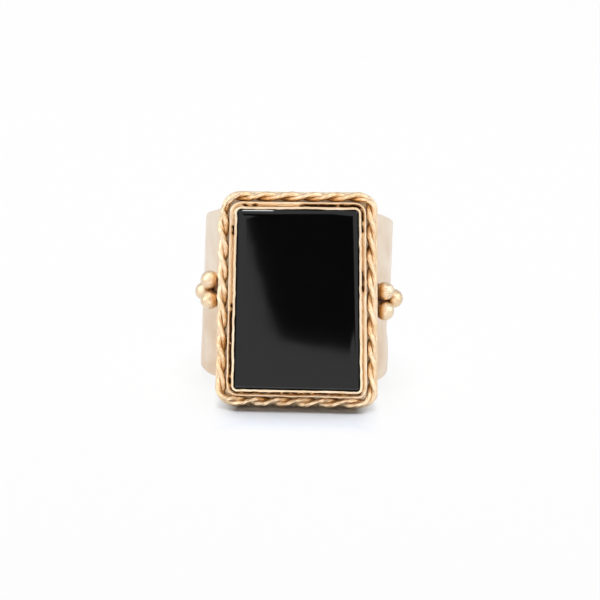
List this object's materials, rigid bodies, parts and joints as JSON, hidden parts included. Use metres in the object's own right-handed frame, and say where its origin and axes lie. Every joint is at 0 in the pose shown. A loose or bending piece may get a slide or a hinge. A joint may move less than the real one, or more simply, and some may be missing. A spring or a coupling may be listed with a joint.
{
  "type": "signet ring",
  "caption": "Gold signet ring with a wide tapered band, an upright black stone in a bezel, a twisted rope border and bead trios on the shoulders.",
  "frame": {"origin": "middle of the finger hole, halfway along the finger", "axes": "+Z along the finger, +Y from the stone through the finger to the back of the band, so the stone faces -Y; +X to the right as the stone is looked at"},
  "size_m": [0.0222, 0.0243, 0.0232],
  "materials": {
    "hammered_gold": "gold plate over brass, softly hammered, satin sheen",
    "polished_gold": "gold plate over brass, burnished, darker in the recesses",
    "rope_gold": "gold plate over brass, antiqued between the strands",
    "black_stone": "opaque black stone, high polish"
  },
  "bodies": {
    "root": {"band": "hammered_gold", "head_gallery": "polished_gold", "head_plate": "polished_gold", "frame_wall": "polished_gold", "bezel": "polished_gold", "seat_ledge": "polished_gold", "stone": "black_stone", "rope_strand_one": "rope_gold", "rope_strand_two": "rope_gold", "bead_left_upper": "polished_gold", "bead_left_lower": "polished_gold", "bead_left_outer": "polished_gold", "bead_right_upper": "polished_gold", "bead_right_lower": "polished_gold", "bead_right_outer": "polished_gold"}
  },
  "joints": []
}
